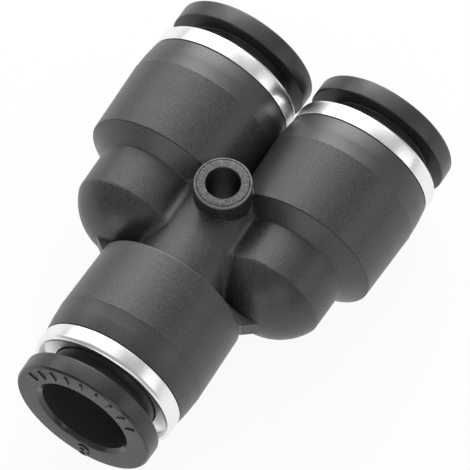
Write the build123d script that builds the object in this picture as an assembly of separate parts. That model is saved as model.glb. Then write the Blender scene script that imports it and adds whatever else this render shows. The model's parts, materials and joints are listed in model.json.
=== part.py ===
from build123d import *
import os

# Push-in Y connector: one stem port and two parallel branch ports for the same tube.
# Millimetres. The origin is the centre of the fixing eyelet on the mid-plane of the Y.
# +Y runs towards the two branch ports, +X towards the right-hand branch and +Z along the eyelet.
# A port is drawn about its own axis with the end face of its cup at height 0 and the tube side above.

# ---- tube ----
tube_radius = 4.0            # outside radius of the tube that the ports take
tube_gap = 0.10              # radial room for the tube in each socket
tube_depth = 15.5            # from a collar's front face to the tube stop

# ---- walls of a port, from the tube outwards ----
collar_wall = 0.75
barb_height = 0.50
barb_room = 0.20             # radial room for the barbs in the guide ring
ring_wall = 0.45
mouth_wall = 0.70
cup_swell = 0.26             # the widest ring of a cup stands this far proud of its mouth
cup_lip_drop = 0.09          # fall from the widest ring to the start of the mouth taper
cup_draft = 0.19             # fall from the widest ring to the back edge
cup_merge = 0.06             # each branch cup reaches this far past the mid-plane between them

# ---- moulded body, outside ----
cup_wide_back = 2.6          # the widest ring of a cup, behind its mouth
cup_lip_back = 1.3           # the start of the taper to the mouth
cup_length = 9.2
cup_edge_round = 0.3
shoulder_length = 1.2        # cone between a branch cup and its neck
shoulder_valley = 0.5        # fillet between that cone and the neck
neck_wall = 0.80
neck_length = 3.93
dome_length = 3.3
dome_flank = 0.743           # the dome passes through this share of the neck's radius
dome_flank_depth = 0.56      # at this share of its own length
hub_wall = 0.45
stem_valley = 0.7            # fillet between the stem cup and the hub
web_thickness = 1.70
web_reach = 1.35             # outer corner of the web, beyond a branch axis
web_corner_rise = 1.2        # outer corner of the web, in front of the stem cup's back
web_foot_inset = 0.47        # foot of the web, inside the stem cup's back edge
web_sink = 0.3               # depth that the web runs into the stem cup
boss_wall = 0.97
boss_drop = 0.56             # the eyelet boss stops this far below the cups' widest ring
boss_bevel = 0.22

# ---- moulded body, inside ----
seal_step = 0.4              # step from the ring bore down to the seal bore
seal_seat_length = 2.75
stop_step = 1.2              # height of the tube stop
cross_radius = 1.9
cross_wall = 1.15            # between the eyelet and the cross passage
mouth_chamfer = 0.12
branch_stop_y = -0.55        # tube stops of the branch ports
stem_stop_y = -6.75          # tube stop of the stem port
eyelet_radius = 1.5

# ---- guide ring ----
ring_band_front = 1.35
ring_nose = 0.30             # rounded front of the band
ring_nose_inset = 0.20
ring_face_width = 0.25
ring_recess = 0.55
ring_shadow = 0.10           # step under the band next to the cup
ring_land = 0.42             # width of the ring's seat on the cup's end face
ring_shank = 3.2
ring_lip_back = 0.30         # back of the inner lip, behind the mouth

# ---- release collar ----
press_travel = 1.35
press_gap = 0.05             # left between flange and ring at full press, and at the barbs
neck_gap = 0.08              # running room of the collar neck in the ring
flange_inset = 0.20          # flange inside the ring's band
flange_thickness = 1.70
flange_edge = 0.18
collar_lead_in = 0.35
barb_land = 0.25
barb_length = 1.25
nose_wall = 0.35
nose_length = 0.50
slit_count = 4
slit_width = 0.7
slit_front = 0.5             # slits start this far in front of the mouth
mark_height = 0.14
mark_stroke = 0.22
mark_ring_radius = 0.40
mark_inset = 1.03            # middle of the row of marks, inside the flange's rim
dash_count = 9
dash_step = 15.0
dash_length = 0.95

# ---- lock claw, back ring and seal ----
claw_thickness = 0.32
claw_play = 0.03             # axial play on each side
claw_outer_gap = 0.05
claw_rim = 1.10              # width of the claw's flat rim, from the bore of its seat
claw_bite = 0.11             # how far the teeth and the seal lips reach inside the tube's surface
claw_tip_drop = 0.80
claw_heel = 0.05             # the teeth bend this much further in on their back
claw_tooth_count = 8
claw_slot_width = 0.75
back_ring_length = 1.55
back_ring_gap = 0.25         # around the tube
back_ring_mouth_gap = 0.30   # around the claw's flat rim
back_ring_land = 0.45
seal_waist_gap = 0.30        # around the tube
seal_bevel = 0.30
seal_lip_width = 0.30
seal_waist_length = 0.70
seal_play = 0.05

# ---- derived ----
socket_radius = tube_radius + tube_gap
collar_neck_radius = socket_radius + collar_wall
barb_radius = collar_neck_radius + barb_height
ring_chamber_radius = barb_radius + barb_room
seat_radius = ring_chamber_radius + ring_wall
cup_mouth_radius = seat_radius + mouth_wall
cup_wide_radius = cup_mouth_radius + cup_swell
cup_lip_radius = cup_wide_radius - cup_lip_drop
cup_back_radius = cup_wide_radius - cup_draft
branch_x = cup_wide_radius - cup_merge
neck_radius = socket_radius + neck_wall
hub_radius = socket_radius + hub_wall
boss_radius = eyelet_radius + boss_wall
boss_half_height = cup_wide_radius - boss_drop
flow_radius = socket_radius - stop_step
seal_seat_radius = seat_radius - seal_step

ring_front = ring_band_front + ring_nose
ring_bore_radius = collar_neck_radius + neck_gap
flange_radius = cup_mouth_radius - flange_inset
flange_back = ring_front + press_travel + press_gap
collar_front = flange_back + flange_thickness
mark_radius = flange_radius - mark_inset
claw_front = -(ring_shank + claw_play)
claw_back = claw_front - claw_thickness
claw_root_radius = seat_radius - claw_rim
grip_radius = tube_radius - claw_bite
back_ring_front = claw_back - claw_play
back_ring_back = back_ring_front - back_ring_length
seal_seat_end = back_ring_back - seal_seat_length
tube_stop = collar_front - tube_depth

cross_y = -(eyelet_radius + cross_wall + cross_radius)
stem_mouth_y = stem_stop_y + tube_stop
branch_mouth_y = branch_stop_y - tube_stop
stem_back_y = stem_mouth_y + cup_length

PORTS = {
    "stem": Plane(origin=(0, stem_mouth_y, 0), x_dir=(1, 0, 0), z_dir=(0, -1, 0)),
    "left": Plane(origin=(-branch_x, branch_mouth_y, 0), x_dir=(-1, 0, 0), z_dir=(0, 1, 0)),
    "right": Plane(origin=(branch_x, branch_mouth_y, 0), x_dir=(-1, 0, 0), z_dir=(0, 1, 0)),
}


def turned(*points):
    """Solid of revolution about Z from a closed profile of (radius, height) points."""
    return revolve(make_face(Plane.XZ * Polyline(*points, close=True)), Axis.Z)


def rounded(face, corner, radius):
    """Flat profile with one corner, given as (radius, height), rounded."""
    near = face.vertices().sort_by_distance(Vector(corner[0], corner[1]))[0]
    return fillet(near, radius)


def cup_profile():
    """Outside of a cup from its back edge to its mouth, with the mouth at height 0."""
    return [(cup_back_radius, -cup_length), (cup_wide_radius, -cup_wide_back),
            (cup_lip_radius, -cup_lip_back), (cup_mouth_radius, 0), (0, 0)]


def stem_outside():
    """Stem cup and the round hub that joins it to the eyelet."""
    hub_front = stem_back_y - (branch_mouth_y - cup_length) - cup_length
    profile = Polyline((0, hub_front), (hub_radius, hub_front), (hub_radius, -cup_length), *cup_profile(),
                       close=True)
    face = rounded(make_face(profile), (hub_radius, -cup_length), stem_valley)
    face = rounded(face, (cup_back_radius, -cup_length), cup_edge_round)
    return PORTS["stem"] * revolve(Plane.XZ * face, Axis.Z)


def branch_outside(side):
    """Branch cup with its shoulder, neck and domed end."""
    neck_front = -(cup_length + shoulder_length)
    neck_back = neck_front - neck_length
    tip = (0, neck_back - dome_length)
    flank = (neck_radius * dome_flank, neck_back - dome_length * dome_flank_depth)
    dome = ThreePointArc(tip, flank, (neck_radius, neck_back))
    wall = Polyline((neck_radius, neck_back), (neck_radius, neck_front), *cup_profile(), tip)
    face = rounded(make_face(dome + wall), (neck_radius, neck_front), shoulder_valley)
    face = rounded(face, (cup_back_radius, -cup_length), cup_edge_round)
    return PORTS[side] * revolve(Plane.XZ * face, Axis.Z)


def web():
    """Flat plate on the mid-plane between the stem cup, the hub and the two necks."""
    x = branch_x + web_reach
    half = [(cup_back_radius - web_foot_inset, stem_back_y - web_sink),
            (x, stem_back_y + web_corner_rise), (x, cross_y), (branch_x, 0)]
    outline = half + [(-px, py) for px, py in reversed(half)]
    return extrude(make_face(Polyline(*outline, close=True)), web_thickness / 2, both=True)


def boss():
    """Eyelet boss, bevelled at both ends."""
    post = Cylinder(boss_radius, 2 * boss_half_height)
    rims = post.edges().filter_by(GeomType.CIRCLE)
    return chamfer(rims, boss_bevel)


def port_cavity():
    """Stepped bore of one port, from its mouth to the tube stop."""
    return turned((0, ring_front), (seat_radius + mouth_chamfer, ring_front), (seat_radius + mouth_chamfer, 0),
                  (seat_radius, -mouth_chamfer), (seat_radius, back_ring_back),
                  (seal_seat_radius, back_ring_back), (seal_seat_radius, seal_seat_end),
                  (socket_radius, seal_seat_end), (socket_radius, tube_stop), (0, tube_stop))


def passage(x, start_y, end_y):
    """Round flow passage along Y."""
    length = end_y - start_y
    return Pos(x, start_y + length / 2, 0) * Rot(90, 0, 0) * Cylinder(flow_radius, length)


def flow_passages():
    """Passages behind the three tube stops and the cross passage that joins them."""
    passages = [passage(0, stem_stop_y, cross_y), Pos(0, cross_y, 0) * Rot(0, 90, 0)
                * Cylinder(cross_radius, 2 * branch_x)]
    for x in (-branch_x, branch_x):
        passages.append(passage(x, cross_y, branch_stop_y))
        passages.append(Pos(x, cross_y, 0) * Sphere(cross_radius))
    return passages


def make_body():
    """One-piece moulded body."""
    core = stem_outside() + branch_outside("left") + branch_outside("right") + web() + boss()
    for port in PORTS.values():
        core = core - port * port_cavity()
    for hole in flow_passages():
        core = core - hole
    return core - Cylinder(eyelet_radius, 2 * boss_half_height)


def make_guide_ring():
    """Metal ring pressed into a cup; its band shows outside and its lip holds the collar."""
    band = cup_mouth_radius
    nose = band - ring_nose_inset
    floor = ring_front - ring_recess
    return turned((seat_radius, -ring_shank), (seat_radius, 0), (seat_radius + ring_land, 0),
                  (seat_radius + ring_land + ring_shadow, ring_shadow), (band, ring_shadow),
                  (band, ring_band_front), (band - ring_nose_inset * 0.3, ring_band_front + ring_nose * 0.57),
                  (nose, ring_front), (nose - ring_face_width, ring_front), (nose - ring_face_width, floor),
                  (ring_bore_radius, floor), (ring_bore_radius, -ring_lip_back),
                  (ring_chamber_radius, -ring_lip_back), (ring_chamber_radius, -ring_shank))


def face_marks():
    """Raised figure eight at the bottom of the collar face and a row of plain dashes at the top."""
    root = 0.02
    tall = mark_height + root
    z = collar_front - root + tall / 2
    offset = mark_ring_radius - mark_stroke / 2
    ring = Cylinder(mark_ring_radius, tall) - Cylinder(mark_ring_radius - mark_stroke, tall)
    marks = [Pos(0, -mark_radius + offset, z) * ring, Pos(0, -mark_radius - offset, z) * ring]
    dash = Box(mark_stroke, dash_length, tall)
    for i in range(dash_count):
        angle = (i - (dash_count - 1) / 2) * dash_step
        marks.append(Rot(0, 0, angle) * Pos(0, mark_radius, z) * dash)
    return marks


def make_collar():
    """Release collar: flange, neck, retaining barbs and a slit nose."""
    barb_front = -(ring_lip_back + press_gap)
    nose_front = barb_front - barb_length
    nose_back = nose_front - nose_length
    nose_radius = socket_radius + nose_wall
    body = turned((socket_radius, nose_back), (socket_radius, collar_front - collar_lead_in),
                  (socket_radius + collar_lead_in, collar_front),
                  (flange_radius - flange_edge, collar_front), (flange_radius, collar_front - flange_edge),
                  (flange_radius, flange_back), (collar_neck_radius, flange_back),
                  (collar_neck_radius, barb_front), (barb_radius, barb_front),
                  (barb_radius, barb_front - barb_land), (nose_radius, nose_front), (nose_radius, nose_back))
    length = 2 * (slit_front - nose_back)
    slot = Pos(flange_radius / 2, 0, slit_front - length / 2) * Box(flange_radius, slit_width, length)
    for i in range(slit_count):
        body = body - Rot(0, 0, (i + 0.5) * 360 / slit_count) * slot
    for mark in face_marks():
        body = body + mark
    return body


def make_lock_claw():
    """Thin spring-steel ring with slanted teeth that bite the tube."""
    tip_front = claw_front - claw_tip_drop
    tip_back = tip_front - claw_thickness
    rim = seat_radius - claw_outer_gap
    claw = turned((rim, claw_front), (claw_root_radius, claw_front), (grip_radius, tip_front),
                  (grip_radius, tip_back), (claw_root_radius - claw_heel, claw_back), (rim, claw_back))
    slot = Box(claw_root_radius, claw_slot_width, 2 * (claw_front - tip_back))
    for i in range(claw_tooth_count):
        claw = claw - Rot(0, 0, i * 360 / claw_tooth_count) * Pos(claw_root_radius / 2, 0, claw_back) * slot
    return claw


def make_back_ring():
    """Spacer that backs the claw and holds the seal."""
    bore = tube_radius + back_ring_gap
    return turned((seat_radius, back_ring_front), (seat_radius, back_ring_back), (bore, back_ring_back),
                  (bore, back_ring_back + back_ring_land),
                  (claw_root_radius + back_ring_mouth_gap, back_ring_front))


def make_seal():
    """Rubber seal with one lip at each end of its bore."""
    front = back_ring_back - seal_play
    back = seal_seat_end
    middle = (front + back) / 2
    waist = tube_radius + seal_waist_gap
    half = seal_waist_length / 2
    lip = seal_bevel + seal_lip_width
    return turned((seal_seat_radius, front), (seal_seat_radius, back), (waist + seal_bevel, back),
                  (grip_radius, back + seal_bevel), (grip_radius, back + lip), (waist, middle - half),
                  (waist, middle + half), (grip_radius, front - lip), (grip_radius, front - seal_bevel),
                  (waist + seal_bevel, front))


def main():
    """Write one STEP file for each piece."""
    os.makedirs("parts", exist_ok=True)
    export_step(make_body(), "parts/body.step")
    pieces = {
        "guide_ring": make_guide_ring(), "release_collar": make_collar(), "lock_claw": make_lock_claw(),
        "back_ring": make_back_ring(), "seal_ring": make_seal(),
    }
    for port, plane in PORTS.items():
        for name, solid in pieces.items():
            export_step(plane * solid, f"parts/{port}_{name}.step")


main()
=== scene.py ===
"""Dressed push-in Y connector: smooth moulding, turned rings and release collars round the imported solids."""
from __future__ import annotations

import json
import logging
import math
from dataclasses import dataclass, field
from enum import Enum
from typing import Sequence

import bmesh
import bpy
import numpy as np
from mathutils import Matrix, Vector

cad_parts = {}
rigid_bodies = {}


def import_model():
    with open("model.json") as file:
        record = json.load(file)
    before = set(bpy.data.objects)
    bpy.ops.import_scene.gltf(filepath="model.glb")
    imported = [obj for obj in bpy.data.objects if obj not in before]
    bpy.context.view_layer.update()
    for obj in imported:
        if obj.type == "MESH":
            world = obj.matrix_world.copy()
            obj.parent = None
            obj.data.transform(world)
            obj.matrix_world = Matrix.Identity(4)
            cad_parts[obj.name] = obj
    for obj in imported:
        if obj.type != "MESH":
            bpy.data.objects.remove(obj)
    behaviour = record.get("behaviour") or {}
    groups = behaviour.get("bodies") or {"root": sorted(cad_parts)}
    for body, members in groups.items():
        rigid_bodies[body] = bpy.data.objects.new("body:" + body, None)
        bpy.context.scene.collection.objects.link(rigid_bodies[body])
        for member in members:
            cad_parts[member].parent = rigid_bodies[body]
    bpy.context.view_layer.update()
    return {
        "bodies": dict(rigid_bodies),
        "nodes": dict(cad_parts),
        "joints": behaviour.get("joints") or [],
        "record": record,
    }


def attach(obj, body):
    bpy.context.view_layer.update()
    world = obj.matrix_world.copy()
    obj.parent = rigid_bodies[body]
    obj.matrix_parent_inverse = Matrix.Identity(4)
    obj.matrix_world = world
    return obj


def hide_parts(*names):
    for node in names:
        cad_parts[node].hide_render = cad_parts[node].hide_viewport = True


LOG = logging.getLogger("y_connector")
MM = 0.001
BRANCH_X = 6.9  # distance of the branch ports' axes from the stem's, in millimetres
WHITE = (1, 1, 1, 1)
Piece = bpy.types.Object
Socket = bpy.types.NodeSocket
Pair = tuple[float, float]
Triple = tuple[float, float, float]


class Operation(Enum):
    """Ways in which one solid is worked with another."""

    ADD = "UNION"
    CUT = "DIFFERENCE"


class Port(Enum):
    """The three tube ports: name, centre of the cup's mouth in millimetres and outward direction along Y."""

    STEM = ("stem", (0.0, -17.5, 0.0), -1.0)
    LEFT = ("left", (-BRANCH_X, 10.2, 0.0), 1.0)
    RIGHT = ("right", (BRANCH_X, 10.2, 0.0), 1.0)

    @property
    def label(self) -> str:
        """Name that the port's pieces start with."""
        return self.value[0]

    @property
    def place(self) -> Matrix:
        """Transform from the port's own axes, with its axis along Z, to the row frame in millimetres.

        Returns:
            The transform.
        """
        origin, outward = self.value[1], self.value[2]
        turn = Matrix(((-outward, 0, 0), (0, 0, outward), (0, 1, 0)))
        return Matrix.Translation(Vector(origin)) @ turn.to_4x4()


@dataclass(frozen=True)
class Corner:
    """One corner of a turned profile: radius, height along the axis and how far it is rounded, in mm."""

    radius: float
    height: float
    soften: float = 0.0


@dataclass
class TurnedProfile:
    """Profile that is turned about an axis into a closed solid."""

    SIDE_SHARE = 0.48
    ON_AXIS = 1e-6

    corners: Sequence[Corner]
    looped: bool = False
    segments: int = 256
    arc_step: float = math.radians(11)

    def outline(self) -> list[tuple[float, float]]:
        """Works out the profile with its corners rounded.

        Returns:
            Points as (radius, height), in order, in millimetres.
        """
        points: list[tuple[float, float]] = []
        count = len(self.corners)
        for index, corner in enumerate(self.corners):
            ends = not self.looped and index in (0, count - 1)
            if corner.soften <= 0 or ends:
                points.append((corner.radius, corner.height))
                continue
            before, after = self.corners[index - 1], self.corners[(index + 1) % count]
            points.extend(self._arc(corner, before, after))
        return points

    def _arc(self, corner: Corner, before: Corner, after: Corner) -> list[tuple[float, float]]:
        """Rounds one corner.

        Args:
            corner: The corner to round.
            before: The corner that comes before it.
            after: The corner that comes after it.

        Returns:
            Points of the arc.
        """
        here = np.array([corner.radius, corner.height])
        back = np.array([before.radius, before.height]) - here
        ahead = np.array([after.radius, after.height]) - here
        back_length, ahead_length = np.linalg.norm(back), np.linalg.norm(ahead)
        back, ahead = back / back_length, ahead / ahead_length
        half = math.acos(float(np.clip(back @ ahead, -1, 1))) / 2
        cut = min(corner.soften / math.tan(half), self.SIDE_SHARE * min(back_length, ahead_length))
        radius = cut * math.tan(half)
        middle = here + (back + ahead) / np.linalg.norm(back + ahead) * radius / math.sin(half)
        first, last = here + back * cut - middle, here + ahead * cut - middle
        start = math.atan2(first[1], first[0])
        sweep = (math.atan2(last[1], last[0]) - start + math.pi) % (2 * math.pi) - math.pi
        steps = max(2, math.ceil(abs(sweep) / self.arc_step))
        angles = start + sweep * np.arange(steps + 1) / steps
        return [(middle[0] + radius * math.cos(a), middle[1] + radius * math.sin(a)) for a in angles]

    def solid(self, name: str, place: Matrix = Matrix.Identity(4)) -> Piece:
        """Turns the profile into a solid.

        Args:
            name: Name of the new object.
            place: Transform from the profile's axes to the row frame, in millimetres.

        Returns:
            A closed mesh object in millimetres.
        """
        mesh = bmesh.new()
        angles = [2 * math.pi * i / self.segments for i in range(self.segments)]
        rings = []
        for radius, height in self.outline():
            spots = [(radius * math.cos(a), radius * math.sin(a), height) for a in angles]
            rings.append([mesh.verts.new(p) for p in (spots if radius >= self.ON_AXIS else [(0, 0, height)])])
        pairs = list(zip(rings, rings[1:])) + ([(rings[-1], rings[0])] if self.looped else [])
        for low, high in pairs:
            for i in range(self.segments):
                j = (i + 1) % self.segments
                corners = [low[i % len(low)], low[j % len(low)], high[j % len(high)], high[i % len(high)]]
                unique = list(dict.fromkeys(corners))
                if len(unique) > 2:
                    mesh.faces.new(unique)
        bmesh.ops.recalc_face_normals(mesh, faces=mesh.faces)
        mesh.transform(place)
        return Workbench.keep(mesh, name)


class Workbench:
    """Shared ways of making, joining and finishing meshes."""

    @staticmethod
    def keep(mesh: bmesh.types.BMesh, name: str) -> Piece:
        """Stores a bmesh as an object in the scene and frees it.

        Args:
            mesh: The bmesh.
            name: Name of the new object.

        Returns:
            The new object.
        """
        data = bpy.data.meshes.new(name)
        mesh.to_mesh(data)
        mesh.free()
        return Workbench.link(data, name)

    @staticmethod
    def link(data: bpy.types.Mesh, name: str) -> Piece:
        """Makes an object for a mesh and links it to the scene.

        Args:
            data: The mesh.
            name: Name of the new object.

        Returns:
            The new object.
        """
        piece = bpy.data.objects.new(name, data)
        bpy.context.scene.collection.objects.link(piece)
        return piece

    @staticmethod
    def work(target: Piece, tools: Sequence[Piece], operation: Operation) -> None:
        """Adds solids to a solid or cuts them from it, and removes them.

        Args:
            target: The solid that is worked.
            tools: The solids that are added or cut.
            operation: What is done with them.
        """
        for tool in tools:
            step = target.modifiers.new(tool.name, "BOOLEAN")
            step.operation = operation.value
            step.solver = "MANIFOLD"
            step.object = tool
        graph = bpy.context.evaluated_depsgraph_get()
        done = bpy.data.meshes.new_from_object(target.evaluated_get(graph))
        target.modifiers.clear()
        old, target.data = target.data, done
        bpy.data.meshes.remove(old)
        for tool in tools:
            bpy.data.objects.remove(tool)

    @staticmethod
    def block(name: str, size: Triple, place: Matrix, bevel: float = 0.0) -> Piece:
        """Makes a rectangular block with softened edges.

        Args:
            name: Name of the new object.
            size: Lengths along its own X, Y and Z, in millimetres.
            place: Transform to the row frame.
            bevel: Width of the softened edges.

        Returns:
            A closed mesh object in millimetres.
        """
        mesh = bmesh.new()
        bmesh.ops.create_cube(mesh, size=1.0)
        mesh.transform(Matrix.Diagonal((*size, 1.0)))
        if bevel > 0:
            bmesh.ops.bevel(mesh, geom=mesh.edges[:], offset=bevel, segments=3, affect="EDGES", profile=0.5)
        mesh.transform(place)
        return Workbench.keep(mesh, name)

    @staticmethod
    def finish(piece: Piece, crease: float = 32.0) -> None:
        """Brings a piece from millimetres to metres and shades it smoothly up to its creases.

        Args:
            piece: The piece to finish.
            crease: Angle in degrees above which an edge stays sharp.
        """
        piece.data.transform(Matrix.Scale(MM, 4))
        mesh = bmesh.new()
        mesh.from_mesh(piece.data)
        limit = math.radians(crease)
        for edge in mesh.edges:
            edge.smooth = len(edge.link_faces) == 2 and edge.calc_face_angle(0.0) < limit
        for face in mesh.faces:
            face.smooth = True
        mesh.to_mesh(piece.data)
        mesh.free()
        weights = piece.modifiers.new("even shading", "WEIGHTED_NORMAL")
        weights.keep_sharp = True
        weights.mode = "FACE_AREA_WITH_ANGLE"


class Distance:
    """Signed distances of plain forms, negative inside, in millimetres."""

    FAR = 1e9
    TINY = 1e-12

    @staticmethod
    def outline(points: np.ndarray, across: np.ndarray, along: np.ndarray,
                open_end: bool = False) -> np.ndarray:
        """Distance to a closed flat outline.

        Args:
            points: Corners of the outline, one row each.
            across: First coordinate of the places to measure.
            along: Second coordinate of the places to measure.
            open_end: True where the last side is the axis of a turned form, which is no wall.

        Returns:
            Signed distances, of the same shape as the places.
        """
        nearest = np.full(across.shape, Distance.FAR)
        inside = np.zeros(across.shape, bool)
        count = len(points)
        for index in range(count):
            (ax, ay), (bx, by) = points[index], points[(index + 1) % count]
            crosses = (ay > along) != (by > along)
            with np.errstate(divide="ignore", invalid="ignore"):
                reach = (bx - ax) * (along - ay) / (by - ay) + ax
            inside ^= crosses & (across < reach)
            if open_end and index == count - 1:
                continue
            square = max((bx - ax) ** 2 + (by - ay) ** 2, Distance.TINY)
            share = np.clip(((across - ax) * (bx - ax) + (along - ay) * (by - ay)) / square, 0, 1)
            gap = (across - ax - share * (bx - ax)) ** 2 + (along - ay - share * (by - ay)) ** 2
            nearest = np.minimum(nearest, gap)
        return np.where(inside, -1.0, 1.0) * np.sqrt(nearest)

    @staticmethod
    def merge(first: np.ndarray, second: np.ndarray, blend: np.ndarray | float) -> np.ndarray:
        """Joins two forms with a soft valley between them.

        Args:
            first: Distances of one form.
            second: Distances of the other.
            blend: How far the valley reaches.

        Returns:
            Distances of the joined form.
        """
        overlap = np.maximum(blend - np.abs(first - second), 0.0) / blend
        return np.minimum(first, second) - overlap**3 * blend / 6.0

    @staticmethod
    def plate(flat: np.ndarray, height: np.ndarray, half: float) -> np.ndarray:
        """Distance to a flat outline that is thickened by half on each side of its plane."""
        out = np.abs(height) - half
        return np.minimum(np.maximum(flat, out), 0) + np.hypot(np.maximum(flat, 0), np.maximum(out, 0))


@dataclass
class Grid:
    """Regular grid of places in the row frame, in millimetres."""

    SETTLE_ROUNDS = 3
    LEAST_SLOPE = 0.2

    low: Triple
    high: Triple
    step: float
    axes: list[np.ndarray] = field(init=False)

    def __post_init__(self) -> None:
        """Lays out the places along each axis."""
        self.axes = [a + self.step * np.arange(int((b - a) / self.step) + 1)
                     for a, b in zip(self.low, self.high)]

    def places(self) -> tuple[np.ndarray, np.ndarray, np.ndarray]:
        """Coordinates of all places, ready to be combined with each other."""
        x, y, z = self.axes
        return x[:, None, None], y[None, :, None], z[None, None, :]

    def sample(self, values: np.ndarray, points: np.ndarray) -> np.ndarray:
        """Reads a sampled field between its places.

        Args:
            values: The field on the grid.
            points: Places to read, one row each.

        Returns:
            The field there.
        """
        where = (points - np.array(self.low)) / self.step
        cell = np.clip(np.floor(where).astype(int), 0, np.array(values.shape) - 2)
        share = where - cell
        total = np.zeros(len(points))
        for corner in range(8):
            offset = np.array([corner >> 2 & 1, corner >> 1 & 1, corner & 1])
            weight = np.prod(np.where(offset, share, 1 - share), axis=1)
            i, j, k = (cell + offset).T
            total += weight * values[i, j, k]
        return total

    def skin(self, values: np.ndarray, name: str) -> Piece:
        """Wraps the inside of a distance field in a closed mesh.

        Args:
            values: Signed distances on the grid, negative inside.
            name: Name of the new object.

        Returns:
            A closed mesh object in millimetres.
        """
        inside = values < 0
        cells = np.array(values.shape) - 1
        total, hits = np.zeros((int(np.prod(cells)), 3)), np.zeros(int(np.prod(cells)))
        quads = []
        for axis in range(3):
            near, far = [slice(None)] * 3, [slice(None)] * 3
            near[axis], far[axis] = slice(0, -1), slice(1, None)
            crossing = np.argwhere(inside[tuple(near)] != inside[tuple(far)])
            others = [a for a in range(3) if a != axis]
            keep = np.all((crossing[:, others] > 0) & (crossing[:, others] < cells[others]), axis=1)
            crossing = crossing[keep]
            ahead = crossing.copy()
            ahead[:, axis] += 1
            first, second = values[tuple(crossing.T)], values[tuple(ahead.T)]
            spot = crossing.astype(float)
            spot[:, axis] += first / (first - second)
            around = []
            for u, v in ((0, 0), (-1, 0), (-1, -1), (0, -1)):
                cell = crossing.copy()
                cell[:, others[0]] += u
                cell[:, others[1]] += v
                index = (cell[:, 0] * cells[1] + cell[:, 1]) * cells[2] + cell[:, 2]
                np.add.at(total, index, spot)
                np.add.at(hits, index, 1)
                around.append(index)
            ring = np.stack(around, axis=1)
            flip = (first < 0) == (axis == 1)
            ring[flip] = ring[flip][:, ::-1]
            quads.append(ring)
        used = np.flatnonzero(hits)
        number = np.full(len(hits), -1)
        number[used] = np.arange(len(used))
        points = total[used] / hits[used, None] * self.step + np.array(self.low)
        points = self._settle(values, points)
        data = bpy.data.meshes.new(name)
        faces = number[np.concatenate(quads)]
        data.from_pydata(points.tolist(), [], faces.tolist())
        data.validate()
        mesh = bmesh.new()
        mesh.from_mesh(data)
        bmesh.ops.recalc_face_normals(mesh, faces=mesh.faces)
        mesh.to_mesh(data)
        mesh.free()
        return Workbench.link(data, name)

    def _settle(self, values: np.ndarray, points: np.ndarray) -> np.ndarray:
        """Moves points onto the zero level of a field.

        Args:
            values: Signed distances on the grid.
            points: Points near the zero level.

        Returns:
            The moved points.
        """
        slopes = np.gradient(values, self.step)
        for _ in range(self.SETTLE_ROUNDS):
            slope = np.stack([self.sample(s, points) for s in slopes], axis=1)
            size = np.maximum((slope**2).sum(axis=1), self.LEAST_SLOPE)
            move = slope * (self.sample(values, points) / size)[:, None]
            points = points - np.clip(move, -self.step, self.step)
        return points


@dataclass
class PortSizes:
    """Sizes that the moulding, the guide ring and the collar of a port share, in millimetres."""

    mouth: float = 6.70
    widest: float = 6.96
    widest_back: float = 2.6
    band_step: float = 0.018
    band_run: float = 0.02
    lip: float = 6.87
    lip_back: float = 1.3
    back: float = 6.77
    length: float = 9.2
    seat: float = 6.0
    chamber: float = 5.55
    neck: float = 4.85
    barb: float = 5.35
    bore: float = 4.10
    ring_front: float = 1.65
    collar_front: float = 4.75
    seat_end: float = -5.13
    seal_end: float = -7.88
    stop: float = -10.75

    def cup(self) -> list[Corner]:
        """Outlines the outside of a cup.

        Returns:
            Its corners, from its back edge to its mouth.
        """
        return [Corner(self.back, -self.length, 0.16),
                Corner(self.widest, -self.widest_back - self.band_run, 0.02),
                Corner(self.widest - self.band_step, -self.widest_back + self.band_run, 0.02),
                Corner(self.lip, -self.lip_back, 3.0), Corner(self.mouth, 0.0, 0.06), Corner(0.0, 0.0)]


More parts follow.
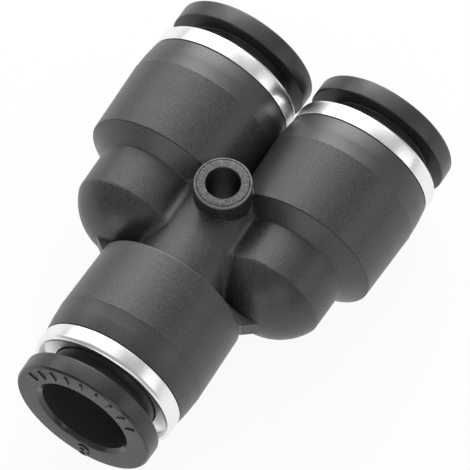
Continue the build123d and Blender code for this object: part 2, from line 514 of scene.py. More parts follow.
@dataclass
class BodyMoulding:
    """The one-piece moulding: three cups, two necks with domed ends, hub, web and eyelet boss.

    Sizes are in millimetres. Heights of the turned profiles count from their port's mouth, and a pair named
    after a blend is its least reach and what is added to it where its ease is full.
    """

    sizes: PortSizes
    stem_back_y: float = -8.3
    hub: float = 4.55
    hub_front: float = -18.5
    stem_valley: float = 0.35
    neck: float = 4.90
    neck_taper: float = 0.05
    neck_front: float = -10.4
    neck_back: float = -14.33
    dome_tip: float = -17.63
    dome_flank: float = 0.743
    dome_flank_depth: float = 0.56
    dome_points: int = 22
    boss: float = 2.47
    boss_half: float = 6.4
    boss_rim: tuple[Triple, ...] = ((0.0, 0.12, 0.05), (0.09, 0.03, 0.04), (0.19, 0.03, 0.02),
                                    (0.22, 0.08, 0.01), (0.27, 0.0, 0.02))
    eyelet: float = 1.5
    eyelet_half: float = 6.36
    eyelet_flare: float = 1.64
    cutter_half: float = 8.0
    flow: float = 2.9
    cross: float = 1.9
    cross_y: float = -4.55
    stem_stop_y: float = -6.75
    branch_stop_y: float = -0.55
    passage_lead: float = 0.5
    stem_overlap: float = 0.3
    branch_overlap: float = 0.6
    cavity_chamfer: float = 0.12
    seal_step: float = 0.4
    web_half: float = 0.85
    web_reach: float = 1.35
    web_rise: float = 1.2
    web_inset: float = 0.47
    web_drop: float = 0.3
    web_edge: float = 0.09
    step: float = 0.16
    grid_low: Triple = (-14.24, -9.44, -7.28)
    grid_high: Triple = (14.24, 4.16, 7.28)
    pair_blend: Pair = (0.02, 0.3)
    pair_ease: Pair = (2.0, 3.5)
    stem_blend: Pair = (0.35, 0.9)
    stem_ease: Pair = (-8.2, -6.2)
    web_blend: float = 0.2
    post_blend: float = 0.15
    post_drop: float = 0.3
    valley_ends: Pair = (-9.15, 3.85)
    tuck: float = 0.02

    def stem_profile(self) -> list[Corner]:
        """Stem cup with the hub behind it."""
        return [Corner(0.0, self.hub_front), Corner(self.hub, self.hub_front),
                Corner(self.hub, -self.sizes.length, self.stem_valley), *self.sizes.cup()]

    def branch_profile(self) -> list[Corner]:
        """Outlines a branch cup with its shoulder, neck and dome.

        Returns:
            Its corners, with the dome as the arc through its tip, its flank and the end of the neck.
        """
        depth = self.neck_back - self.dome_tip
        flank = np.array([self.neck * self.dome_flank, self.neck_back - depth * self.dome_flank_depth])
        tip, rim = np.array([0.0, self.dome_tip]), np.array([self.neck, self.neck_back])
        rows = np.array([flank - tip, rim - tip]) * 2
        middle = np.linalg.solve(rows, np.array([flank @ flank - tip @ tip, rim @ rim - tip @ tip]))
        radius = float(np.linalg.norm(rim - middle))
        start, end = (math.atan2(*(p - middle)[::-1]) for p in (tip, rim))
        arc = [Corner(float(middle[0] + radius * math.cos(a)), float(middle[1] + radius * math.sin(a)))
               for a in np.linspace(start, end, self.dome_points)[1:-1]]
        return [Corner(0.0, self.dome_tip), *arc, Corner(self.neck, self.neck_back, 0.9),
                Corner(self.neck + self.neck_taper, self.neck_front, 0.18), *self.sizes.cup()]

    def web_outline(self) -> np.ndarray:
        """Outlines the flat web on the mid-plane.

        Returns:
            Its corners, one row each.
        """
        x = BRANCH_X + self.web_reach
        half = [(self.sizes.back - self.web_inset, self.stem_back_y - self.web_drop),
                (x, self.stem_back_y + self.web_rise), (x, self.cross_y), (BRANCH_X, 0.0)]
        return np.array(half + [(-px, py) for px, py in reversed(half)])

    def _turned_field(self, profile: list[Corner], port: Port, grid: Grid) -> np.ndarray:
        """Distances of a turned form on the grid.

        Args:
            profile: Its corners.
            port: The port whose axis it is turned about.
            grid: The grid to fill.

        Returns:
            Signed distances on the grid.
        """
        origin, outward = port.value[1], port.value[2]
        points = np.array(TurnedProfile(profile, arc_step=math.radians(6)).outline())
        fine, farthest = 0.02, 30.0
        radii = np.arange(0.0, farthest, fine)
        heights = (grid.axes[1] - origin[1]) * outward
        across, along = np.meshgrid(radii, heights, indexing="ij")
        table = Distance.outline(points, across, along, open_end=True)
        x, _, z = grid.places()
        where = np.hypot(x - origin[0], z) / fine
        low = np.minimum(where.astype(int), len(radii) - 2)
        share = where - low
        row = np.arange(len(heights))[None, :, None]
        return table[low, row] * (1 - share) + table[low + 1, row] * share

    def _valleys(self) -> Piece:
        """Makes the soft valleys between the hub, the necks, the web and the boss.

        Returns:
            One closed solid, which lies a little inside the other forms away from the valleys.
        """
        grid = Grid(self.grid_low, self.grid_high, self.step)
        x, y, z = grid.places()
        stem = self._turned_field(self.stem_profile(), Port.STEM, grid)
        left = self._turned_field(self.branch_profile(), Port.LEFT, grid)
        right = left[::-1]

        def ease(low: float, high: float) -> np.ndarray:
            """Smooth step in y from 0 at low to 1 at high."""
            share = np.clip((y - low) / (high - low), 0, 1)
            return share * share * (3 - 2 * share)

        least, added = self.pair_blend
        form = Distance.merge(left, right, least + added * (1 - ease(*self.pair_ease)))
        least, added = self.stem_blend
        form = Distance.merge(form, stem, least + added * ease(*self.stem_ease))
        flat = Distance.outline(self.web_outline(), *np.meshgrid(grid.axes[0], grid.axes[1], indexing="ij"))
        form = Distance.merge(form, Distance.plate(flat[:, :, None], z, self.web_half), self.web_blend)
        post = Distance.plate(np.hypot(x, y) - self.boss, z, self.boss_half - self.post_drop)
        form = Distance.merge(form, post, self.post_blend)
        front, back = self.valley_ends
        form = np.maximum(form + self.tuck, np.maximum(y - back, front - y))
        return grid.skin(form, "valleys")

    def _web(self) -> Piece:
        """Makes the flat web plate with softened edges.

        Returns:
            A closed mesh object in millimetres.
        """
        mesh = bmesh.new()
        face = mesh.faces.new([mesh.verts.new((px, py, -self.web_half)) for px, py in self.web_outline()])
        lifted = bmesh.ops.extrude_face_region(mesh, geom=[face])["geom"]
        tops = [v for v in lifted if isinstance(v, bmesh.types.BMVert)]
        bmesh.ops.translate(mesh, vec=(0, 0, 2 * self.web_half), verts=tops)
        bmesh.ops.recalc_face_normals(mesh, faces=mesh.faces)
        bmesh.ops.bevel(mesh, geom=mesh.edges[:], offset=self.web_edge, segments=3, affect="EDGES",
                        profile=0.5)
        return Workbench.keep(mesh, "web")

    def _cavity(self, port: Port) -> Piece:
        """Makes the cutter for the stepped bore of one port.

        Args:
            port: The port.

        Returns:
            A closed cutter.
        """
        s = self.sizes
        wide, narrow = s.seat + self.cavity_chamfer, s.seat - self.seal_step
        corners = [Corner(0.0, 1.0), Corner(wide, 1.0), Corner(wide, 0.0),
                   Corner(s.seat, -self.cavity_chamfer), Corner(s.seat, s.seat_end),
                   Corner(narrow, s.seat_end), Corner(narrow, s.seal_end),
                   Corner(s.bore, s.seal_end, 0.05), Corner(s.bore, s.stop), Corner(0.0, s.stop)]
        return TurnedProfile(corners, segments=192).solid("cavity", port.place)

    def _passage(self, start: Triple, end: Triple, radius: float) -> Piece:
        """Makes the cutter for a round passage between two points.

        Args:
            start: One end of its axis.
            end: The other end.
            radius: Its radius.

        Returns:
            A closed cutter.
        """
        run = Vector(end) - Vector(start)
        place = Matrix.Translation(Vector(start)) @ run.to_track_quat("Z", "Y").to_matrix().to_4x4()
        corners = [Corner(0.0, 0.0), Corner(radius, 0.0, 0.3), Corner(radius, run.length, 0.3),
                   Corner(0.0, run.length)]
        return TurnedProfile(corners, segments=96).solid("passage", place)

    def _boss(self) -> Piece:
        """Makes the eyelet boss, with a rim and a fine groove at both ends.

        Returns:
            A closed mesh object in millimetres.
        """
        half = [Corner(self.boss - inset, self.boss_half - drop, soften)
                for inset, drop, soften in self.boss_rim]
        half.append(Corner(0.0, self.boss_half))
        return TurnedProfile([Corner(c.radius, -c.height, c.soften) for c in reversed(half)] + half,
                             segments=160).solid("boss")

    def _eyelet(self) -> Piece:
        """Makes the cutter for the eyelet, with a flare at both ends.

        Returns:
            A closed cutter.
        """
        flare, ends, half = self.eyelet + self.eyelet_flare, self.cutter_half, self.eyelet_half
        return TurnedProfile([Corner(0.0, -ends), Corner(flare, -ends), Corner(self.eyelet, -half, 0.05),
                              Corner(self.eyelet, half, 0.05), Corner(flare, ends), Corner(0.0, ends)],
                             segments=128).solid("eyelet")

    def build(self) -> Piece:
        """Makes the whole moulding.

        Returns:
            The piece, in metres, without its material.
        """
        body = TurnedProfile(self.stem_profile()).solid("body_moulding", Port.STEM.place)
        added = [TurnedProfile(self.branch_profile()).solid("branch", port.place)
                 for port in (Port.LEFT, Port.RIGHT)]
        Workbench.work(body, [*added, self._web(), self._valleys(), self._boss()], Operation.ADD)
        lead, middle = self.passage_lead, self.cross_y
        cuts = [self._cavity(port) for port in Port]
        cuts.append(self._passage((0, self.stem_stop_y - lead, 0),
                                  (0, middle + self.stem_overlap, 0), self.flow))
        for side in (-BRANCH_X, BRANCH_X):
            cuts.append(self._passage((side, self.branch_stop_y + lead, 0),
                                      (side, middle - self.branch_overlap, 0), self.flow))
        cuts.append(self._passage((-BRANCH_X, middle, 0), (BRANCH_X, middle, 0), self.cross))
        Workbench.work(body, [*cuts, self._eyelet()], Operation.CUT)
        Workbench.finish(body)
        return body


@dataclass
class GuideRing:
    """Plated metal ring in the mouth of a cup, with sizes in millimetres."""

    sizes: PortSizes
    port: Port
    recess: float = 0.55
    running_room: float = 0.08
    shank_back: float = -3.2
    lip_back: float = -0.3
    land: float = 0.42
    land_end: float = 0.52
    shadow: float = 0.1
    band_front: float = 1.35
    face: float = 0.45

    def build(self) -> Piece:
        """Turns the ring.

        Returns:
            The piece, in metres, without its material.
        """
        s = self.sizes
        front, floor, bore = s.ring_front, s.ring_front - self.recess, s.neck + self.running_room
        inner = s.mouth - self.face
        corners = [Corner(s.seat, self.shank_back, 0.1), Corner(s.seat, 0.0), Corner(s.seat + self.land, 0.0),
                   Corner(s.seat + self.land_end, self.shadow), Corner(s.mouth, self.shadow, 0.04),
                   Corner(s.mouth, self.band_front, 0.25), Corner(s.mouth - 0.06, 1.52, 0.12),
                   Corner(s.mouth - 0.2, front, 0.10), Corner(inner, front, 0.05), Corner(inner, floor, 0.05),
                   Corner(bore, floor, 0.05), Corner(bore, self.lip_back, 0.03),
                   Corner(s.chamber, self.lip_back, 0.05), Corner(s.chamber, self.shank_back)]
        profile = TurnedProfile(corners, looped=True, segments=320)
        piece = profile.solid(f"{self.port.label}_ring_turned", self.port.place)
        Workbench.finish(piece)
        return piece


@dataclass
class ReleaseCollar:
    """Release collar with its flange, slit neck, barbs and raised marks, with sizes in millimetres."""

    sizes: PortSizes
    port: Port
    flange: float = 6.50
    flange_back: float = 3.05
    flange_edge: float = 0.18
    lead_in: float = 0.35
    nose_wall: float = 0.35
    nose_back: float = -2.1
    barb_front: float = -0.35
    barb_land: float = -0.6
    barb_back: float = -1.6
    slit_width: float = 0.7
    slit_front: float = 0.5
    slit_length: float = 5.2
    slits: int = 4
    mark_radius: float = 5.47
    mark_root: float = 0.1
    mark_height: float = 0.14
    loop: Pair = (0.19, 0.43)
    loop_shift: float = 0.30
    loop_stretch: float = 1.25
    dashes: int = 9
    dash_step: float = 15.0
    dash_size: Triple = (0.26, 1.0, 0.24)
    dash_rise: float = 0.02

    def _marks(self) -> list[Piece]:
        """Makes the figure eight and the row of plain dashes of the front face.

        Returns:
            Closed mesh objects that reach into the face.
        """
        front = self.sizes.collar_front
        root, top, (inner, outer) = front - self.mark_root, front + self.mark_height, self.loop
        loop = [Corner(inner, root), Corner(outer, root), Corner(outer, top, 0.06), Corner(inner, top, 0.06)]
        stretch = Matrix.Diagonal((self.loop_stretch, 1.0, 1.0, 1.0))
        marks = []
        for offset in (-self.loop_shift, self.loop_shift):
            spot = Matrix.Translation((0, -self.mark_radius + offset, 0)) @ stretch
            marks.append(TurnedProfile(loop, looped=True, segments=48).solid("loop", self.port.place @ spot))
        for index in range(self.dashes):
            turn = Matrix.Rotation(math.radians((index - (self.dashes - 1) / 2) * self.dash_step), 4, "Z")
            spot = turn @ Matrix.Translation((0, self.mark_radius, front + self.dash_rise))
            marks.append(Workbench.block("dash", self.dash_size, self.port.place @ spot, bevel=0.05))
        return marks

    def build(self) -> Piece:
        """Turns the collar, slits its neck and adds the marks.

        Returns:
            The piece, in metres, without its material.
        """
        s = self.sizes
        front, nose = s.collar_front, s.bore + self.nose_wall
        corners = [Corner(s.bore, self.nose_back, 0.05), Corner(s.bore, front - self.lead_in, 0.1),
                   Corner(s.bore + self.lead_in, front, 0.06),
                   Corner(self.flange - self.flange_edge, front, 0.14),
                   Corner(self.flange - 0.02, front - self.flange_edge, 0.14),
                   Corner(self.flange, self.flange_back, 0.10), Corner(s.neck, self.flange_back, 0.10),
                   Corner(s.neck, self.barb_front), Corner(s.barb, self.barb_front, 0.04),
                   Corner(s.barb, self.barb_land, 0.08), Corner(nose, self.barb_back, 0.1),
                   Corner(nose, self.nose_back, 0.05)]
        profile = TurnedProfile(corners, looped=True, segments=320)
        piece = profile.solid(f"{self.port.label}_collar_moulded", self.port.place)
        size = (self.flange, self.slit_width, self.slit_length)
        middle = Matrix.Translation((self.flange / 2, 0, self.slit_front - self.slit_length / 2))
        cuts = []
        for index in range(self.slits):
            turn = Matrix.Rotation(math.radians((index + 0.5) * 360 / self.slits), 4, "Z")
            cuts.append(Workbench.block("slit", size, self.port.place @ (turn @ middle)))
        Workbench.work(piece, cuts, Operation.CUT)
        Workbench.work(piece, self._marks(), Operation.ADD)
        Workbench.finish(piece)
        return piece


class Mixed(Enum):
    """What a Mix node mixes: its data type and the numbers of its first source and of its result."""

    VALUE = ("FLOAT", 2, 0)
    COLOUR = ("RGBA", 6, 2)


class Graph:
    """Node tree that is built up node by node."""

    def __init__(self, tree: bpy.types.NodeTree) -> None:
        """Starts from an empty tree."""
        self.tree = tree
        tree.nodes.clear()

    def join(self, node: bpy.types.Node, inputs: dict) -> bpy.types.Node:
        """Links or sets inputs of a node.

        Args:
            node: The node.
            inputs: What each input takes, by name or number: a socket to link, or a plain value.

        Returns:
            The node.
        """
        for key, source in inputs.items():
            if isinstance(source, Socket):
                self.tree.links.new(source, node.inputs[key])
            else:
                node.inputs[key].default_value = source
        return node

    def add(self, kind: str, inputs: dict) -> bpy.types.Node:
        """Adds a node of a kind and joins its inputs."""
        return self.join(self.tree.nodes.new("ShaderNode" + kind), inputs)

    def maths(self, operation: str, first: Socket, second: Socket | float = 0.0) -> Socket:
        """Works out one value from another and a second value or number.

        Args:
            operation: What is done.
            first: The first value.
            second: The second value, or a plain number.

        Returns:
            The result.
        """
        node = self.add("Math", {0: first, 1: second})
        node.operation = operation
        return node.outputs[0]


class NodeBoard(Graph):
    """Nodes of one material, round its Principled shader."""

    STEM_LIMIT = -0.005
    CUP_SKIN = 0.00665

    def __init__(self, name: str) -> None:
        """Starts a material with nothing but its shader.

        Args:
            name: Name of the material.
        """
        self.material = bpy.data.materials.new(name)
        self.material.use_nodes = True
        super().__init__(self.material.node_tree)
        self.shader = self.add("BsdfPrincipled", {})
        self.add("OutputMaterial", {"Surface": self.shader.outputs["BSDF"]})
        self.places = self.add("TexCoord", {}).outputs

    def noise(self, place: Socket, size: float, detail: float = 2.0, rough: float = 0.5) -> Socket:
        """Noise read at a place, with its size in metres and the number and weight of its finer layers."""
        inputs = {"Vector": place, "Scale": 1.0 / size, "Detail": detail, "Roughness": rough}
        return self.add("TexNoise", inputs).outputs["Fac"]

    def grain(self, size: float, detail: float = 2.0, rough: float = 0.5) -> Socket:
        """Noise all through the piece."""
        return self.noise(self.places["Object"], size, detail, rough)

    def rings(self, width: float) -> Socket:
        """Fine lines round an axis along Y, with their width in metres."""
        return self.noise(self.add("CombineXYZ", {"Y": self.axis("Y")}).outputs["Vector"], width)

    def spread(self, source: Socket, low: float, high: float, start: float = 0.3, end: float = 0.7) -> Socket:
        """Maps a value from the range start to end to the range low to high."""
        inputs = {"Value": source, "From Min": start, "From Max": end, "To Min": low, "To Max": high}
        return self.add("MapRange", inputs).outputs["Result"]

    def mix(self, share: Socket, first: Socket | Triple, second: Socket | Triple,
            kind: Mixed = Mixed.COLOUR) -> Socket:
        """Mixes two colours, or two values, by a value.

        Args:
            share: Share of the second source.
            first: The first source, or a plain colour.
            second: The second source, or a plain colour.
            kind: What is mixed.

        Returns:
            The mixture.
        """
        data_type, start, result = kind.value
        first, second = (s if isinstance(s, Socket) else (*s, 1.0) for s in (first, second))
        node = self.add("Mix", {})
        node.data_type = data_type
        self.join(node, {0: share, start: first, start + 1: second})
        return node.outputs[result]

    def bump(self, height: Socket, depth: float, strength: float, under: Socket | None = None) -> Socket:
        """Adds relief with its depth in metres, on top of the relief that gave the normal under it."""
        inputs = {"Distance": depth, "Strength": strength, "Height": height}
        return self.add("Bump", inputs | ({} if under is None else {"Normal": under})).outputs["Normal"]

    def axis(self, letter: str, source: str = "Object") -> Socket:
        """One component of the object's own coordinates or of its normal."""
        return self.add("SeparateXYZ", {"Vector": self.places[source]}).outputs[letter]

    def squares(self, first: Socket, second: Socket) -> Socket:
        """Sum of the squares of two values."""
        return self.maths("ADD", self.maths("MULTIPLY", first, first), self.maths("MULTIPLY", second, second))

    def ends(self, low: float, high: float) -> Socket:
        """Masks what lies beyond two places along y.

        Args:
            low: Lower end, in metres.
            high: Upper end, in metres.

        Returns:
            The mask, 1 below low and above high.
        """
        along = self.axis("Y")
        below, above = self.maths("LESS_THAN", along, low), self.maths("GREATER_THAN", along, high)
        return self.maths("MAXIMUM", below, above)

    def reach(self) -> Socket:
        """Works out the distance from the axis of the port nearby.

        Returns:
            The distance, in metres.
        """
        branch = self.maths("GREATER_THAN", self.axis("Y"), self.STEM_LIMIT)
        side = self.maths("MULTIPLY", branch, BRANCH_X * MM)
        across = self.maths("SUBTRACT", self.maths("ABSOLUTE", self.axis("X")), side)
        return self.maths("SQRT", self.squares(across, self.axis("Z")))

    def stripe(self, place: float, core: float, edge: float) -> Socket:
        """Mask of a line round a cup.

        Args:
            place: Its y, in metres.
            core: Half width of its full part.
            edge: Half width where it ends.

        Returns:
            The mask, from 0 to 1.
        """
        gap = self.maths("ABSOLUTE", self.maths("SUBTRACT", self.axis("Y"), place))
        return self.maths("MULTIPLY", self.spread(gap, 1.0, 0.0, core, edge),
                          self.maths("GREATER_THAN", self.reach(), self.CUP_SKIN))

    def feed(self, socket: str, source: Socket) -> None:
        """Links a value to one of the shader's sockets."""
        self.join(self.shader, {socket: source})


@dataclass(frozen=True)
class GrainedPlastic:
    """Black moulded plastic of the body: spark-eroded grain, with a smooth turned band at each mouth.

    Lengths and places are in metres. A contrast is the part of the noise that is spread from 0 to 1.
    """

    name: str = "grained_black_body"
    dark: Triple = (0.008, 0.008, 0.0083)
    light: Triple = (0.046, 0.046, 0.047)
    band_tone: Triple = (0.036, 0.036, 0.0365)
    band_share: float = 0.5
    # painted highlight: the boss end faces take this lighter grained tone
    lit_boss_dark: Triple = (0.002, 0.002, 0.002)
    lit_boss_light: Triple = (0.095, 0.095, 0.096)
    # painted highlight tone: the bright stem cup back-edge line and the boss rim ring
    painted_highlight_tone: Triple = (0.17, 0.17, 0.172)
    # painted shade tone of the dark line round the branch cups' back edges
    painted_shade_tone: Triple = (0.004, 0.004, 0.004)
    # painted highlight: place and widths of a bright line painted round the stem cup's back edge
    painted_highlight_edge: float = -0.00827
    painted_highlight_widths: Pair = (0.00003, 0.00012)
    # painted shade: place and widths of a dark line painted round each branch cup's back edge
    painted_shade_line: float = 0.00102
    painted_shade_widths: Pair = (0.00002, 0.00007)
    grain: float = 0.00016
    contrast: Pair = (0.38, 0.64)
    grain_share: float = 0.78
    cloud: float = 0.0035
    cloud_share: float = 0.22
    roughness: Pair = (0.34, 0.46)
    relief: float = 0.000026
    relief_strength: float = 0.55
    sink: float = 0.0026
    sink_depth: float = 0.00003
    sink_strength: float = 0.10
    turning: float = 0.00011
    turned_shares: Pair = (0.85, 0.3)
    specular: float = 0.8
    boss_grain: float = 0.00015
    boss_contrast: Pair = (0.42, 0.60)
    boss_radius: float = 0.0025
    # radius beyond which the boss faces get a painted highlight ring
    boss_rim: float = 0.00236
    boss_face: float = 0.0062
    stem_band: float = -0.0149
    branch_band: float = 0.0076

    def _tone(self, board: NodeBoard, band: Socket, fine: Socket) -> Socket:
        """Colours the plastic, with painted highlights, a painted shade line and boss faces painted lighter.

        Args:
            board: The material's nodes.
            band: Mask of the smooth bands.
            fine: The grain.

        Returns:
            The colour.
        """
        spot = board.squares(board.axis("X"), board.axis("Y"))
        high = board.maths("ABSOLUTE", board.axis("Z"))
        # mask of the boss end faces, which are painted lighter as a highlight
        boss = board.maths("MULTIPLY", board.maths("LESS_THAN", spot, self.boss_radius**2),
                           board.maths("GREATER_THAN", high, self.boss_face))
        flecks = board.maths("MULTIPLY", board.spread(fine, 0.0, 1.0, *self.contrast), self.grain_share)
        cloud = board.maths("MULTIPLY", board.grain(self.cloud), self.cloud_share)
        speckle = board.maths("ADD", flecks, cloud)
        tone = board.mix(board.maths("MULTIPLY", band, self.band_share),
                         board.mix(speckle, self.dark, self.light), self.band_tone)
        # painted highlight: lighter grained tone on the boss end faces
        flecks = board.spread(board.grain(self.boss_grain, 2.0, 0.6), 0.0, 1.0, *self.boss_contrast)
        tone = board.mix(boss, tone, board.mix(flecks, self.lit_boss_dark, self.lit_boss_light))
        # painted highlight: bright ring painted round the outer rim of each boss face
        rim = board.maths("MULTIPLY", board.maths("GREATER_THAN", spot, self.boss_rim**2), boss)
        tone = board.mix(rim, tone, self.painted_highlight_tone)
        # painted shade: dark line painted round each branch cup's back edge at the shoulder
        tone = board.mix(board.stripe(self.painted_shade_line, *self.painted_shade_widths), tone, self.painted_shade_tone)
        # painted highlight: bright line painted round the stem cup's back edge
        return board.mix(board.stripe(self.painted_highlight_edge, *self.painted_highlight_widths), tone, self.painted_highlight_tone)

    def material(self) -> bpy.types.Material:
        """Builds the finish.

        Returns:
            The material.
        """
        board = NodeBoard(self.name)
        band = board.ends(self.stem_band, self.branch_band)
        fine, lines = board.grain(self.grain, 2.0, 0.6), board.rings(self.turning)
        board.feed("Base Color", self._tone(board, band, fine))
        board.feed("Roughness", board.mix(band, board.spread(fine, *self.roughness),
                                          board.spread(lines, *self.roughness), Mixed.VALUE))
        sink = board.bump(board.grain(self.sink, 1.0), self.sink_depth, self.sink_strength)
        turned = board.maths("ADD", *(board.maths("MULTIPLY", source, share)
                                      for source, share in zip((fine, lines), self.turned_shares)))
        height = board.mix(band, fine, turned, Mixed.VALUE)
        board.feed("Normal", board.bump(height, self.relief, self.relief_strength, sink))
        board.shader.inputs["Specular IOR Level"].default_value = self.specular
        return board.material


@dataclass(frozen=True)
class CollarPlastic:
    """Satin black plastic of the collars: finely grained front, smooth sides with faint lines round them.

    Lengths and places are in metres. A lean is how far the surface's normal turns to the port's axis, from 0
    on a side to 1 on a face.
    """

    name: str = "satin_black_collar"
    dark: Triple = (0.013, 0.013, 0.0135)
    light: Triple = (0.026, 0.026, 0.0265)
    # painted light: the bore wall is painted lighter than the rest of the collar
    lit_bore_tone: Triple = (0.050, 0.050, 0.051)
    # painted light: the neck is painted lighter than the flange
    lit_neck_tone: Triple = (0.032, 0.032, 0.0325)
    # painted highlight: the tops of the raised marks are painted lighter than the face
    mark_highlight_tone: Triple = (0.042, 0.042, 0.0425)
    face_dark: Triple = (0.004, 0.004, 0.004)
    face_light: Triple = (0.036, 0.036, 0.0365)
    stem_marks: float = -0.02232
    branch_marks: float = 0.01502
    bore: float = 0.0044
    neck: float = 0.0058
    face_lean: float = 0.9
    side_lean: float = 0.5
    edge_leans: Pair = (0.2, 0.93)
    grain: float = 0.00014
    contrast: Pair = (0.40, 0.62)
    cloud: float = 0.0022
    turning: float = 0.00016
    turning_share: float = 0.15
    side_roughness: Pair = (0.29, 0.40)
    face_roughness: Pair = (0.36, 0.48)
    edge_roughness: Pair = (0.13, 0.19)
    relief: float = 0.000012
    relief_strength: float = 0.5
    specular: float = 0.62

    def material(self) -> bpy.types.Material:
        """Builds the finish.

        Returns:
            The material.
        """
        board = NodeBoard(self.name)
        lean = board.maths("ABSOLUTE", board.axis("Y", "Normal"))
        face = board.maths("GREATER_THAN", lean, self.face_lean)
        low, high = self.edge_leans
        edge = board.maths("MULTIPLY", board.maths("GREATER_THAN", lean, low),
                           board.maths("LESS_THAN", lean, high))
        side = board.maths("LESS_THAN", lean, self.side_lean)
        reach = board.reach()
        fine, cloud = board.grain(self.grain, 2.0, 0.6), board.grain(self.cloud)
        flecks = board.spread(fine, 0.0, 1.0, *self.contrast)
        tone = board.mix(face, board.mix(cloud, self.dark, self.light),
                         board.mix(flecks, self.face_dark, self.face_light))
        # painted light: neck and bore walls are painted lighter than the flange
        for limit, shade in ((self.neck, self.lit_neck_tone), (self.bore, self.lit_bore_tone)):
            within = board.maths("MULTIPLY", side, board.maths("LESS_THAN", reach, limit))
            tone = board.mix(within, tone, shade)
        # painted highlight: mask of the raised marks' tops
        marks = board.ends(self.stem_marks, self.branch_marks)
        board.feed("Base Color", board.mix(marks, tone, self.mark_highlight_tone))
        rough = board.mix(face, board.spread(cloud, *self.side_roughness),
                          board.spread(fine, *self.face_roughness), Mixed.VALUE)
        shiny = board.spread(cloud, *self.edge_roughness)
        board.feed("Roughness", board.mix(edge, rough, shiny, Mixed.VALUE))
        lines = board.maths("MULTIPLY", board.rings(self.turning), self.turning_share)
        height = board.mix(face, lines, fine, Mixed.VALUE)
        board.feed("Normal", board.bump(height, self.relief, self.relief_strength))
        board.shader.inputs["Specular IOR Level"].default_value = self.specular
        return board.material


@dataclass(frozen=True)
class TurnedMetal:
    """Plated metal with the fine lines of turning round its axis, with lengths in metres."""

    name: str
    colour: Triple
    roughness: Pair
    cloud: float = 0.0016
    line: float = 0.00009
    relief: float = 0.0000025
    relief_strength: float = 0.35

    def material(self) -> bpy.types.Material:
        """Builds the finish.

        Returns:
            The material.
        """
        board = NodeBoard(self.name)
        board.shader.inputs["Base Color"].default_value = (*self.colour, 1.0)
        board.shader.inputs["Metallic"].default_value = 1.0
        board.feed("Roughness", board.spread(board.grain(self.cloud), *self.roughness))
        board.feed("Normal", board.bump(board.rings(self.line), self.relief, self.relief_strength))
        return board.material


@dataclass(frozen=True)
class InnerFinish:
    """Finish of a hidden inner piece, with a light grain and lengths in metres."""

    name: str
    dark: Triple
    light: Triple
    roughness: Pair
    metallic: float = 0.0
    grain: float = 0.0002
    relief: float = 0.00001
    relief_strength: float = 0.3

    def material(self) -> bpy.types.Material:
        """Builds the finish.

        Returns:
            The material.
        """
        board = NodeBoard(self.name)
        fine = board.grain(self.grain)
        board.feed("Base Color", board.mix(board.spread(fine, 0.0, 1.0), self.dark, self.light))
        board.feed("Roughness", board.spread(fine, *self.roughness))
        board.shader.inputs["Metallic"].default_value = self.metallic
        board.feed("Normal", board.bump(fine, self.relief, self.relief_strength))
        return board.material


class Finish(Enum):
    """The finishes of the connector's pieces."""

    BODY = GrainedPlastic()
    COLLAR = CollarPlastic()
    RING = TurnedMetal("turned_nickel_plate", (0.90, 0.895, 0.885), (0.26, 0.34))
    CLAW = InnerFinish("stamped_spring_steel", (0.55, 0.55, 0.56), (0.66, 0.66, 0.67), (0.25, 0.36), 1.0)
    SPACER = InnerFinish("natural_acetal", (0.66, 0.65, 0.61), (0.75, 0.74, 0.70), (0.38, 0.50))
    SEAL = InnerFinish("black_nitrile", (0.010, 0.010, 0.010), (0.020, 0.020, 0.020), (0.50, 0.65))


@dataclass(frozen=True)
class Lamp:
    """Soft rectangular lamp, with its place and its width and height in metres and its power in watts."""

    name: str
    spot: Triple
    size: Pair
    power: float

    def hang(self) -> None:
        """Hangs the lamp so that it points at the connector."""
        data = bpy.data.lights.new(self.name, "AREA")
        data.shape = "RECTANGLE"
        data.size, data.size_y = self.size
        data.energy = self.power
        lamp = bpy.data.objects.new(self.name, data)
        lamp.location = self.spot
        lamp.rotation_mode = "QUATERNION"
        lamp.rotation_quaternion = (-Vector(self.spot)).to_track_quat("-Z", "Y")
        bpy.context.scene.collection.objects.link(lamp)


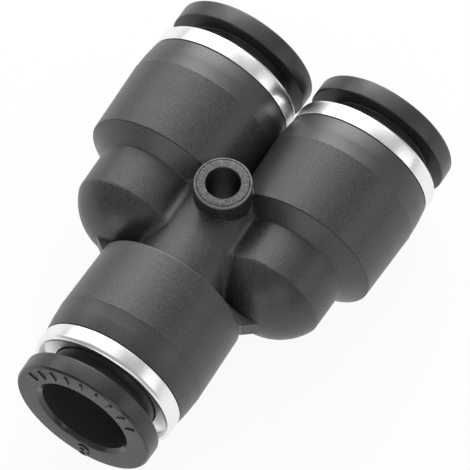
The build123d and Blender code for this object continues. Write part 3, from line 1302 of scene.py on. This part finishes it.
@dataclass
class Studio:
    """Pale floor, soft lamps and the camera of the photograph, in metres."""

    floor_z: float = -0.00698
    floor_half: float = 1.5
    floor_tone: float = 0.9
    shown_share: float = 0.93
    world_strength: float = 0.35
    right: Triple = (0.84788, 0.530118, -0.008656)
    up: Triple = (-0.460571, 0.744536, 0.48326)
    spot: Triple = (0.255513, -0.393071, 0.846482)
    lens: float = 882.4
    sensor: float = 36.0
    clip: Pair = (0.05, 10.0)
    lamps: tuple[Lamp, ...] = (
        Lamp("back_softbox", (-0.158, 0.255, 0.180), (0.26, 0.17), 0.31),
        Lamp("high_softbox", (-0.134, 0.223, 0.234), (0.20, 0.15), 0.35),
        Lamp("far_softbox", (0.0, 0.268, 0.225), (0.20, 0.15), 0.31),
        Lamp("low_softbox", (-0.171, 0.285, 0.108), (0.20, 0.15), 0.25),
        Lamp("overhead_card", (-0.047, 0.078, 0.338), (0.20, 0.15), 0.07),
        Lamp("right_softbox", (0.128, 0.212, 0.247), (0.15, 0.17), 0.035),
        Lamp("left_softbox", (-0.302, 0.097, 0.149), (0.17, 0.17), 0.15),
        Lamp("side_card", (0.305, 0.097, 0.141), (0.17, 0.17), 0.10),
        Lamp("front_card", (0.168, -0.266, 0.154), (0.17, 0.17), 0.10),
        Lamp("low_front_card", (-0.042, -0.345, 0.052), (0.17, 0.09), 0.12),
    )

    def floor(self) -> None:
        """Lays the floor; the camera and glossy surfaces see it nearly white, with a soft shadow left in."""
        mesh = bmesh.new()
        bmesh.ops.create_grid(mesh, x_segments=1, y_segments=1, size=self.floor_half)
        mesh.transform(Matrix.Translation((0, 0, self.floor_z)))
        plane = Workbench.keep(mesh, "studio_floor")
        material = bpy.data.materials.new("pale_floor")
        material.use_nodes = True
        graph = Graph(material.node_tree)
        rays = graph.add("LightPath", {}).outputs
        seen = graph.maths("MAXIMUM", rays["Is Camera Ray"], rays["Is Glossy Ray"])
        share = graph.maths("MULTIPLY", seen, self.shown_share)
        diffuse = graph.add("BsdfDiffuse", {"Color": (*[self.floor_tone] * 3, 1)})
        glow = graph.add("Emission", {"Color": WHITE})
        mix = graph.add("MixShader", {0: share, 1: diffuse.outputs[0], 2: glow.outputs[0]})
        graph.add("OutputMaterial", {"Surface": mix.outputs[0]})
        plane.data.materials.append(material)

    def world(self) -> None:
        """Sets a dim white world that only the camera sees at full strength."""
        world = bpy.data.worlds.new("studio")
        world.use_nodes = True
        bpy.context.scene.world = world
        graph = Graph(world.node_tree)
        dim, full = (graph.add("Background", {"Color": WHITE, "Strength": strength}).outputs[0]
                     for strength in (self.world_strength, 1.0))
        camera_ray = graph.add("LightPath", {}).outputs["Is Camera Ray"]
        mix = graph.add("MixShader", {0: camera_ray, 1: dim, 2: full})
        graph.add("OutputWorld", {"Surface": mix.outputs[0]})

    def camera(self) -> None:
        """Sets the camera where the photograph was taken from."""
        data = bpy.data.cameras.new("view")
        data.lens, data.sensor_width = self.lens, self.sensor
        data.clip_start, data.clip_end = self.clip
        camera = bpy.data.objects.new("view", data)
        right, up = Vector(self.right), Vector(self.up)
        turn = Matrix((right, up, right.cross(up))).transposed()
        camera.matrix_world = Matrix.Translation(Vector(self.spot)) @ turn.to_4x4()
        bpy.context.scene.collection.objects.link(camera)
        bpy.context.scene.camera = camera

    def build(self) -> None:
        """Sets up everything round the connector."""
        self.floor()
        self.world()
        for lamp in self.lamps:
            lamp.hang()
        self.camera()


@dataclass
class Connector:
    """All pieces of the connector, dressed and fixed to their bodies."""

    frame: dict[str, dict]
    sizes: PortSizes = field(default_factory=PortSizes)

    def _fit(self, piece: Piece, body: str, node: str, finish: Finish) -> None:
        """Dresses a piece and puts it in the place of a solid.

        Args:
            piece: The piece.
            body: The body that it rides on.
            node: The solid that it stands for.
            finish: Its finish.
        """
        piece.data.materials.clear()
        piece.data.materials.append(finish.value.material())
        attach(piece, body)
        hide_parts(node)
        LOG.info("%s stands for %s, %d faces", piece.name, node, len(piece.data.polygons))

    def _reline(self, node: str, finish: Finish) -> None:
        """Gives a solid that stays in view its finish.

        Args:
            node: The solid.
            finish: Its finish.
        """
        for slot in self.frame["nodes"][node].material_slots:
            slot.material = finish.value.material()
        LOG.info("%s keeps its shape and takes %s", node, finish.value.name)

    def build(self) -> None:
        """Makes and fixes every piece."""
        self._fit(BodyMoulding(self.sizes).build(), "body", "body", Finish.BODY)
        for port in Port:
            label = port.label
            self._fit(GuideRing(self.sizes, port).build(), "body", f"{label}_guide_ring",
                      Finish.RING)
            self._fit(ReleaseCollar(self.sizes, port).build(), f"{label}_collar", f"{label}_release_collar",
                      Finish.COLLAR)
            self._reline(f"{label}_lock_claw", Finish.CLAW)
            self._reline(f"{label}_back_ring", Finish.SPACER)
            self._reline(f"{label}_seal_ring", Finish.SEAL)


def main() -> None:
    """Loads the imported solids, dresses them and sets up the studio."""
    logging.basicConfig(level=logging.INFO, format="%(name)s: %(message)s")
    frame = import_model()
    bpy.context.scene.view_settings.view_transform = "Standard"
    Connector(frame).build()
    Studio().build()
    bpy.context.view_layer.update()


if __name__ == "__main__":
    main()
